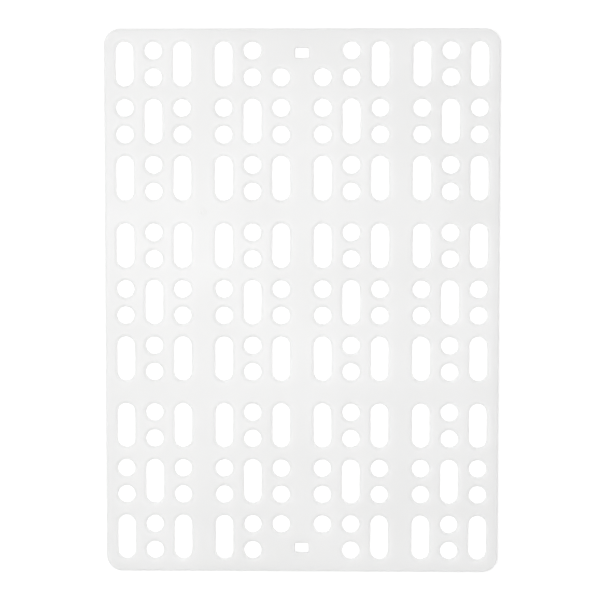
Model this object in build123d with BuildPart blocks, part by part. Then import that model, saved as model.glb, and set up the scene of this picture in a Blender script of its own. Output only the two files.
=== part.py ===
from build123d import *

import os

# Queen excluder for a small hive: one flat plate, injection-moulded in natural plastic. Worker bees
# pass through its slots and round holes, and the wider queen can't. It is a single moulding, with
# nothing fastened to it and nothing that moves.
#
# Millimetres. The plate lies flat, with +X across it, +Y along it and +Z up. The origin is the
# centre of its underside.

# The bee gap: the clear width of every slot, and the diameter of every round hole
bee_gap = 4.3

# Plate
plate_width = 100.0
plate_length = 138.0
plate_thickness = 2.0
corner_radius = 4.0
edge_round = 0.8  # on the plate's outer edges, above and below

# Passages. They stand in modules, and each module is a square of cells. A cell holds either one slot
# or a pair of round holes, by turns, like the squares of a chessboard.
modules_across = 4
modules_along = 3
module_pitch_x = 25.0
module_pitch_y = 45.75
cells_per_side = 3
cell_pitch_x = 7.25
cell_pitch_y = 14.35
slot_length = 11.1  # end to end, along Y
pair_pitch = 6.7  # between the two round holes of a cell, along Y
rim_chamfer = 0.5  # on every passage's rim, above and below, so that no bee tears a wing

# Locating holes, one near the middle of each short side
locating_width = 3.4
locating_height = 2.4
locating_offset = 62.8  # from the plate's centre, along Y
locating_corner_radius = 0.3
locating_rim_round = 0.3

# Marks of the mould, where the wide bars between the modules cross. Each ejector pin leaves a shallow
# round mark in the underside. The gate is in the upper face, in a dimple deeper than its stub is high,
# so that the stub stays clear of whatever lies on the plate.
pin_mark_diameter = 3.0
pin_mark_depth = 0.1
gate_x = -module_pitch_x
gate_y = module_pitch_y / 2
gate_dimple_diameter = 1.8
gate_dimple_depth = 0.15
gate_stub_diameter = 0.9
gate_stub_height = 0.1


def centred_steps(count, pitch):
    """Returns count positions, a pitch apart, centred on zero."""
    return [(step - (count - 1) / 2) * pitch for step in range(count)]


def beside_locating_hole(x, y):
    """Says whether a cell stands next to a locating hole, which leaves it room for one round hole only."""
    return abs(x) < cell_pitch_x and abs(y) > locating_offset - cell_pitch_y / 2


def cell_layout():
    """Returns the centres of all the slots, and the centres of all the round holes."""
    slots = []
    holes = []
    for module_x in centred_steps(modules_across, module_pitch_x):
        for module_y in centred_steps(modules_along, module_pitch_y):
            for column, cell_x in enumerate(centred_steps(cells_per_side, cell_pitch_x)):
                for row, cell_y in enumerate(centred_steps(cells_per_side, cell_pitch_y)):
                    x = module_x + cell_x
                    y = module_y + cell_y
                    inward = -pair_pitch / 2 if y > 0 else pair_pitch / 2
                    if beside_locating_hole(x, y):
                        holes.append((x, y + inward))
                    elif (column + row) % 2 == 0:
                        slots.append((x, y))
                    else:
                        holes.append((x, y + inward))
                        holes.append((x, y - inward))
    return slots, holes


slot_centres, hole_centres = cell_layout()
bar_crossings = [
    (x, y)
    for x in centred_steps(modules_across - 1, module_pitch_x)
    for y in centred_steps(modules_along - 1, module_pitch_y)
]

with BuildPart() as excluder_plate:
    # The blank
    with BuildSketch():
        RectangleRounded(plate_width, plate_length, corner_radius)
    extrude(amount=plate_thickness)
    fillet(excluder_plate.faces().filter_by(Axis.Z).edges(), edge_round)

    # Slots and round holes for the bees
    with BuildSketch():
        with Locations(*slot_centres):
            SlotOverall(slot_length, bee_gap, rotation=90)
        with Locations(*hole_centres):
            Circle(bee_gap / 2)
    extrude(amount=plate_thickness, mode=Mode.SUBTRACT)
    chamfer(excluder_plate.edges(Select.LAST).filter_by(Plane.XY), rim_chamfer)

    # Locating holes
    with BuildSketch():
        with Locations((0, locating_offset), (0, -locating_offset)):
            RectangleRounded(locating_width, locating_height, locating_corner_radius)
    extrude(amount=plate_thickness, mode=Mode.SUBTRACT)
    fillet(excluder_plate.edges(Select.LAST).filter_by(Plane.XY), locating_rim_round)

    # Ejector pin marks
    with BuildSketch():
        with Locations(*bar_crossings):
            Circle(pin_mark_diameter / 2)
    extrude(amount=pin_mark_depth, mode=Mode.SUBTRACT)

    # Gate
    with BuildSketch(Plane.XY.offset(plate_thickness)):
        with Locations((gate_x, gate_y)):
            Circle(gate_dimple_diameter / 2)
            Circle(gate_stub_diameter / 2, mode=Mode.SUBTRACT)
    extrude(amount=-gate_dimple_depth, mode=Mode.SUBTRACT)
    with BuildSketch(Plane.XY.offset(plate_thickness)):
        with Locations((gate_x, gate_y)):
            Circle(gate_stub_diameter / 2)
    extrude(amount=gate_stub_height - gate_dimple_depth, mode=Mode.SUBTRACT)

excluder_plate.part.label = "excluder_plate"

os.makedirs("parts", exist_ok=True)
export_step(excluder_plate.part, "parts/excluder_plate.step")
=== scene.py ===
import math

import bpy
from mathutils import Euler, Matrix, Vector
from mathutils.geometry import delaunay_2d_cdt


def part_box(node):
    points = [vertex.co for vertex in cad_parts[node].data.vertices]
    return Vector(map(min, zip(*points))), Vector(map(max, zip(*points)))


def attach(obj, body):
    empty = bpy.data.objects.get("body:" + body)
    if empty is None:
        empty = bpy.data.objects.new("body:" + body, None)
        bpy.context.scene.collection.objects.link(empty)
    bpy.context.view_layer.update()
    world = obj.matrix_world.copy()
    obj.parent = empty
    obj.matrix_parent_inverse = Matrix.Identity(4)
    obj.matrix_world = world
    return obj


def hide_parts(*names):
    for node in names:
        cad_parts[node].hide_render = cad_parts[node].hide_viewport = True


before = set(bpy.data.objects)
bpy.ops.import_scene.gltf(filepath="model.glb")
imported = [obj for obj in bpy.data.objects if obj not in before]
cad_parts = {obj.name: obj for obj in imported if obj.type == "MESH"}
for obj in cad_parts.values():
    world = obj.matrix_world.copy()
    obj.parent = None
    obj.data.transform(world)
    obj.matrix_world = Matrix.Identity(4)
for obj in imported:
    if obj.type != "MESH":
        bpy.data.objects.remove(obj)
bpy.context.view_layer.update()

# A queen excluder: one flat plate, injection-moulded in milky plastic, lying on a white sheet.
# The CAD node has plain chamfers round its passages. The plate made here has the real rounded rims,
# the mould's parting line half-way up every wall, and soft-edged marks of the ejector pins and gate.
# Lengths are in metres, so a size in millimetres is written as a number times mm.
mm = 0.001

# The plate, from the frame
lowest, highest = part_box("excluder_plate")
plate_width = highest.x - lowest.x
plate_length = highest.y - lowest.y
underside = lowest.z
upper_face = highest.z
corner_radius = 4 * mm

# Passages: modules of cells, each cell with a slot or a pair of round holes, like a chessboard
bee_gap = 4.3 * mm
modules_across = 4
modules_along = 3
module_pitch_x = 25 * mm
module_pitch_y = 45.75 * mm
cells_per_side = 3
cell_pitch_x = 7.25 * mm
cell_pitch_y = 14.35 * mm
slot_length = 11.1 * mm
pair_pitch = 6.7 * mm

# Locating holes
locating_width = 3.4 * mm
locating_height = 2.4 * mm
locating_offset = 62.8 * mm
locating_corner_radius = 0.3 * mm

# Rounding of the plate's outer edge, of the passages' rims and of the locating holes' rims
edge_round = 0.8 * mm
rim_round = 0.92 * mm
locating_rim_round = 0.3 * mm

# The parting line, a low ridge that the two halves of the mould leave on each wall
parting_height = 0.03 * mm
parting_width = 0.14 * mm

# Marks of the mould where the wide bars cross
pin_mark_radius = 1.5 * mm
pin_mark_depth = 0.1 * mm
gate_x = -module_pitch_x
gate_y = module_pitch_y / 2
gate_dimple_radius = 0.9 * mm
gate_dimple_depth = 0.15 * mm
gate_stub_radius = 0.45 * mm
gate_stub_height = 0.1 * mm
mark_round = 0.04 * mm

# The stage: how far the lit pad stays inside the plate's edge, and how far the sheets lie below the plate
pad_inset = 1.5 * mm
pad_below = 0.01 * mm
floor_below = 0.02 * mm

# Fineness of the mesh
outline_steps = 8  # along a quarter turn of an outline
rim_steps = 5  # along a quarter turn of a rim
mark_steps = 3  # along a quarter turn of a mark's edge
longest_run = 3 * mm  # along a straight side
same_point = 0.001 * mm  # nearer than this, two points of an outline are one
merge_distance = 1e-9  # for the triangles of a flat face


def centred_steps(count, pitch):
    """Returns count positions, a pitch apart, centred on zero."""
    return [(step - (count - 1) / 2) * pitch for step in range(count)]


def beside_locating_hole(x, y):
    """Says whether a cell stands next to a locating hole, which leaves it room for one round hole only."""
    return abs(x) < cell_pitch_x and abs(y) > locating_offset - cell_pitch_y / 2


def cell_layout():
    """Returns the centres of all the slots, and the centres of all the round holes."""
    slots = []
    holes = []
    for module_x in centred_steps(modules_across, module_pitch_x):
        for module_y in centred_steps(modules_along, module_pitch_y):
            for column, cell_x in enumerate(centred_steps(cells_per_side, cell_pitch_x)):
                for row, cell_y in enumerate(centred_steps(cells_per_side, cell_pitch_y)):
                    x = module_x + cell_x
                    y = module_y + cell_y
                    inward = -pair_pitch / 2 if y > 0 else pair_pitch / 2
                    if beside_locating_hole(x, y):
                        holes.append((x, y + inward))
                    elif (column + row) % 2 == 0:
                        slots.append((x, y))
                    else:
                        holes.append((x, y + inward))
                        holes.append((x, y - inward))
    return slots, holes


def outer_outline(width, length, radius):
    """Returns a rounded rectangle about the origin, anticlockwise, as pairs of a place and the way out."""
    outline = []
    for quarter in range(4):
        centre_x = (width / 2 - radius) * (1 if quarter in (0, 3) else -1)
        centre_y = (length / 2 - radius) * (1 if quarter in (0, 1) else -1)
        for step in range(outline_steps + 1):
            angle = math.radians(90) * (quarter + step / outline_steps)
            out = Vector((math.cos(angle), math.sin(angle)))
            place = Vector((centre_x, centre_y)) + radius * out
            if not outline or (place - outline[-1][0]).length > same_point:
                outline.append((place, out))
    if (outline[0][0] - outline[-1][0]).length < same_point:
        outline.pop()
    return with_runs_divided(outline)


def with_runs_divided(outline):
    """Returns the outline with more points along its straight runs, so that no run is long."""
    divided = []
    for (place, out), (following, _) in zip(outline, outline[1:] + outline[:1]):
        pieces = math.ceil((following - place).length / longest_run)
        for piece in range(pieces):
            divided.append((place.lerp(following, piece / pieces), out))
    return divided


def opening_outline(x, y, width, length, radius):
    """Returns an opening's outline, clockwise, as pairs of a place and the way out of the plastic."""
    centre = Vector((x, y))
    return [(centre + place, -out) for place, out in reversed(outer_outline(width, length, radius))]


def round_outline(x, y, radius):
    """Returns a round opening's outline."""
    return opening_outline(x, y, 2 * radius, 2 * radius, radius)


def bend(inset, height, radius, start, end, steps):
    """Returns a round stretch of a wall's profile about a centre, from one tilt to another in degrees.

    Each point is its inset into the plastic, its height, and how far the surface there tilts away from
    facing up. A radius below zero makes a hollow corner.
    """
    stretch = []
    for step in range(steps + 1):
        tilt = math.radians(start + (end - start) * step / steps)
        stretch.append((inset - radius * math.sin(tilt), height + radius * math.cos(tilt), tilt))
    return stretch


def parting_line(height):
    """Returns the profile of the parting line's ridge, about a height on a wall."""
    flank = math.radians(60)
    half = parting_width / 2
    return [
        (0, height + half, math.radians(90)),
        (-parting_height / 2, height + half / 2, flank),
        (-parting_height, height, math.radians(90)),
        (-parting_height / 2, height - half / 2, math.pi - flank),
        (0, height - half, math.radians(90)),
    ]


def rim_profile(radius):
    """Returns the profile of a wall right through the plate, with rounded rims, from above to below."""
    upper = bend(radius, upper_face - radius, radius, 0, 90, rim_steps)
    lower = bend(radius, underside + radius, radius, 90, 180, rim_steps)
    return upper + parting_line((upper_face + underside) / 2) + lower


class Skin:
    """A closed surface in the making: its points, their normals and its faces."""

    def __init__(self):
        self.points = []
        self.normals = []
        self.faces = []

    def ring(self, outline, inset, height, tilt):
        """Adds a ring of points along an outline, and returns their numbers."""
        first = len(self.points)
        for place, out in outline:
            at = place - inset * out
            self.points.append((at.x, at.y, height))
            self.normals.append((math.sin(tilt) * out.x, math.sin(tilt) * out.y, math.cos(tilt)))
        return list(range(first, len(self.points)))

    def wall(self, outline, profile):
        """Adds a wall along an outline, and returns its first and last rings."""
        rings = [self.ring(outline, *point) for point in profile]
        for upper, lower in zip(rings, rings[1:]):
            for left, right in zip(range(-1, len(outline) - 1), range(len(outline))):
                self.faces.append((upper[left], lower[left], lower[right], upper[right]))
        return rings[0], rings[-1]

    def cover(self, loops, faces_up):
        """Closes a flat face between loops of points. The first loop is its edge, the others are holes."""
        numbers = [number for loop in loops for number in loop]
        owners = [which for which, loop in enumerate(loops) for _ in loop]
        places = [Vector(self.points[number][:2]) for number in numbers]
        edges = []
        for loop in loops:
            start = len(edges)
            edges += [(start + step, start + (step + 1) % len(loop)) for step in range(len(loop))]
        _, _, triangles, sources, _, _ = delaunay_2d_cdt(places, edges, [], 0, merge_distance)
        for triangle in triangles:
            corners = [sources[corner][0] for corner in triangle]
            owners_here = {owners[corner] for corner in corners}
            if len(owners_here) == 1 and owners_here != {0}:
                continue  # it lies across a hole
            face = [numbers[corner] for corner in corners]
            self.faces.append(face if faces_up else face[::-1])

    def made(self, name):
        """Returns the surface as an object with smooth shading."""
        mesh = bpy.data.meshes.new(name)
        mesh.from_pydata(self.points, [], self.faces)
        mesh.shade_smooth()
        mesh.normals_split_custom_set_from_vertices(self.normals)
        piece = bpy.data.objects.new(name, mesh)
        bpy.context.scene.collection.objects.link(piece)
        return piece


def pin_mark(skin, x, y):
    """Adds an ejector pin's mark, a shallow recess in the underside, and returns its edge."""
    outline = round_outline(x, y, pin_mark_radius)
    top = underside + pin_mark_depth
    profile = bend(-mark_round, top - mark_round, -mark_round, 180, 90, mark_steps)
    profile += bend(mark_round, underside + mark_round, mark_round, 90, 180, mark_steps)
    recess, edge = skin.wall(outline, profile)
    skin.cover([recess], faces_up=False)
    return edge


def gate_mark(skin):
    """Adds the gate's mark, a dimple with a stub in it, in the upper face, and returns its edge."""
    outline = round_outline(gate_x, gate_y, gate_dimple_radius)
    bottom = upper_face - gate_dimple_depth
    top = bottom + gate_stub_height
    stub = gate_stub_radius - gate_dimple_radius
    profile = bend(mark_round, upper_face - mark_round, mark_round, 0, 90, mark_steps)
    profile += bend(-mark_round, bottom + mark_round, -mark_round, 90, 0, mark_steps)
    profile += bend(stub + mark_round, bottom + mark_round, -mark_round, 0, -90, mark_steps)
    profile += bend(stub - mark_round, top - mark_round, mark_round, -90, 0, mark_steps)
    edge, stub_top = skin.wall(outline, profile)
    skin.cover([stub_top], faces_up=True)
    return edge


def plate():
    """Returns the whole plate as one closed surface."""
    skin = Skin()
    outer = outer_outline(
        plate_width - 2 * parting_height, plate_length - 2 * parting_height, corner_radius - parting_height
    )
    walls = [skin.wall(outer, rim_profile(edge_round))]
    slots, holes = cell_layout()
    for x, y in slots:
        outline = opening_outline(x, y, bee_gap, slot_length, bee_gap / 2)
        walls.append(skin.wall(outline, rim_profile(rim_round)))
    for x, y in holes:
        outline = round_outline(x, y, bee_gap / 2)
        walls.append(skin.wall(outline, rim_profile(rim_round)))
    for y in (locating_offset, -locating_offset):
        outline = opening_outline(0, y, locating_width, locating_height, locating_corner_radius)
        walls.append(skin.wall(outline, rim_profile(locating_rim_round)))
    pin_marks = [
        pin_mark(skin, x, y)
        for x in centred_steps(modules_across - 1, module_pitch_x)
        for y in centred_steps(modules_along - 1, module_pitch_y)
    ]
    skin.cover([upper for upper, _ in walls] + [gate_mark(skin)], faces_up=True)
    skin.cover([lower for _, lower in walls] + pin_marks, faces_up=False)
    return skin.made("plate")


def noise(material, size, detail, roughness):
    """Returns the factor of a noise texture in the plate's own coordinates, with features of a size."""
    nodes = material.node_tree.nodes
    links = material.node_tree.links
    place = nodes.get("Texture Coordinate") or nodes.new("ShaderNodeTexCoord")
    texture = nodes.new("ShaderNodeTexNoise")
    texture.inputs["Scale"].default_value = 1 / size
    texture.inputs["Detail"].default_value = detail
    texture.inputs["Roughness"].default_value = roughness
    links.new(place.outputs["Object"], texture.inputs["Vector"])
    return texture.outputs["Fac"]


def spread(material, factor, low, high):
    """Returns a factor spread from its usual middle range to a range from low to high."""
    node = material.node_tree.nodes.new("ShaderNodeMapRange")
    node.inputs["From Min"].default_value = 0.3
    node.inputs["From Max"].default_value = 0.7
    node.inputs["To Min"].default_value = low
    node.inputs["To Max"].default_value = high
    material.node_tree.links.new(factor, node.inputs["Value"])
    return node.outputs["Result"]


def bump(material, height, depth, under=None):
    """Returns a normal bumped by a height, to a depth, on top of another bump."""
    node = material.node_tree.nodes.new("ShaderNodeBump")
    node.inputs["Strength"].default_value = 1
    node.inputs["Distance"].default_value = depth
    material.node_tree.links.new(height, node.inputs["Height"])
    if under:
        material.node_tree.links.new(under, node.inputs["Normal"])
    return node.outputs["Normal"]


def milky_plastic():
    """Natural polyethylene: milky, a little translucent, satin, with a fine moulded grain."""
    material = bpy.data.materials.new("natural_plastic")
    material.use_nodes = True
    nodes = material.node_tree.nodes
    links = material.node_tree.links
    shader = nodes["Principled BSDF"]
    shader.inputs["IOR"].default_value = 1.5
    shader.inputs["Subsurface Weight"].default_value = 1
    shader.inputs["Subsurface Radius"].default_value = (1, 0.99, 0.97)
    shader.inputs["Subsurface Scale"].default_value = 4 * mm

    # Colour: slow drifts between a warmer and a cooler white, as the melt cooled
    mix = nodes.new("ShaderNodeMix")
    mix.data_type = "RGBA"
    mix.inputs["A"].default_value = (0.79, 0.79, 0.787, 1)
    mix.inputs["B"].default_value = (0.823, 0.823, 0.822, 1)
    drifts = noise(material, size=30 * mm, detail=3, roughness=0.5)
    links.new(spread(material, drifts, low=0, high=1), mix.inputs["Factor"])
    links.new(mix.outputs["Result"], shader.inputs["Base Color"])

    # Gloss: satin, rubbed a little brighter in patches
    patches = noise(material, size=9 * mm, detail=4, roughness=0.6)
    links.new(spread(material, patches, low=0.34, high=0.46), shader.inputs["Roughness"])

    # Relief: slow waves of shrinkage, then the fine grain of the mould
    slow = noise(material, size=14 * mm, detail=1, roughness=0.5)
    fine = noise(material, size=0.25 * mm, detail=2, roughness=0.6)
    waves = bump(material, slow, depth=0.04 * mm)
    grain = bump(material, fine, depth=0.004 * mm, under=waves)
    links.new(grain, shader.inputs["Normal"])
    return material


def white_sheet(name, glow):
    """Plain white, with a glow of its own like the sheet on a light table."""
    material = bpy.data.materials.new(name)
    material.use_nodes = True
    shader = material.node_tree.nodes["Principled BSDF"]
    shader.inputs["Base Color"].default_value = (0.95, 0.95, 0.95, 1)
    shader.inputs["Roughness"].default_value = 0.9
    shader.inputs["Specular IOR Level"].default_value = 0.2
    shader.inputs["Emission Color"].default_value = (1, 1, 1, 1)
    shader.inputs["Emission Strength"].default_value = glow
    return material


def add_sheet(name, half_width, half_length, below, glow):
    """Adds a flat white sheet to the stage, centred under the plate, a little below it."""
    mesh = bpy.data.meshes.new(name)
    corners = [(-1, -1), (1, -1), (1, 1), (-1, 1)]
    points = [(x * half_width, y * half_length, underside - below) for x, y in corners]
    mesh.from_pydata(points, [], [(0, 1, 2, 3)])
    mesh.materials.append(white_sheet(name, glow))
    sheet = bpy.data.objects.new(name, mesh)
    bpy.context.scene.collection.objects.link(sheet)


def add_area_light(name, place, size, power):
    """Adds a square soft light that faces the middle of the plate."""
    light = bpy.data.lights.new(name, "AREA")
    light.size = size
    light.energy = power
    lamp = bpy.data.objects.new(name, light)
    lamp.location = place
    lamp.rotation_euler = (-Vector(place)).to_track_quat("-Z", "Y").to_euler()
    bpy.context.scene.collection.objects.link(lamp)


def add_sky(around, overhead):
    """Adds white light from all round, of one strength near the horizon and another straight above."""
    world = bpy.data.worlds.new("sky")
    world.use_nodes = True
    nodes = world.node_tree.nodes
    links = world.node_tree.links
    nodes["Background"].inputs["Color"].default_value = (1, 1, 1, 1)
    direction = nodes.new("ShaderNodeTexCoord")
    parts = nodes.new("ShaderNodeSeparateXYZ")
    links.new(direction.outputs["Generated"], parts.inputs["Vector"])
    strength = nodes.new("ShaderNodeMapRange")
    strength.inputs["From Min"].default_value = 0.2
    strength.inputs["From Max"].default_value = 1
    strength.inputs["To Min"].default_value = around
    strength.inputs["To Max"].default_value = overhead
    links.new(parts.outputs["Z"], strength.inputs["Value"])
    links.new(strength.outputs["Result"], nodes["Background"].inputs["Strength"])
    bpy.context.scene.world = world


def add_camera():
    """Adds a long-lens camera almost straight above the plate, a little beyond its middle."""
    camera_data = bpy.data.cameras.new("camera")
    camera_data.lens = 100
    camera_data.sensor_width = 36
    camera_data.clip_start = 0.01
    camera = bpy.data.objects.new("camera", camera_data)
    camera.location = (7.72 * mm, 24.56 * mm, upper_face + 421.2 * mm)
    tilts = [math.radians(degrees) for degrees in (-3.251, 1.110, 0.089)]
    camera.rotation_mode = "ZYX"
    camera.rotation_euler = Euler(tilts, "ZYX")
    bpy.context.scene.collection.objects.link(camera)
    bpy.context.scene.camera = camera


excluder = plate()
excluder.data.materials.append(milky_plastic())
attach(excluder, "root")
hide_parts("excluder_plate")

# The floor, and a brighter pad hidden under the plate, which lights its passages from below
add_sheet("floor", half_width=3, half_length=3, below=floor_below, glow=0.25)
add_sheet(
    "pad",
    half_width=plate_width / 2 - pad_inset,
    half_length=plate_length / 2 - pad_inset,
    below=pad_below,
    glow=0.38,
)
add_sky(around=0.32, overhead=1.07)
add_area_light("key", place=(-0.45, 0.15, 0.2), size=0.14, power=0.15)
add_area_light("overhead", place=(-0.04, 0.01, 0.21), size=0.13, power=0.092)
add_camera()
bpy.context.scene.view_settings.view_transform = "Standard"
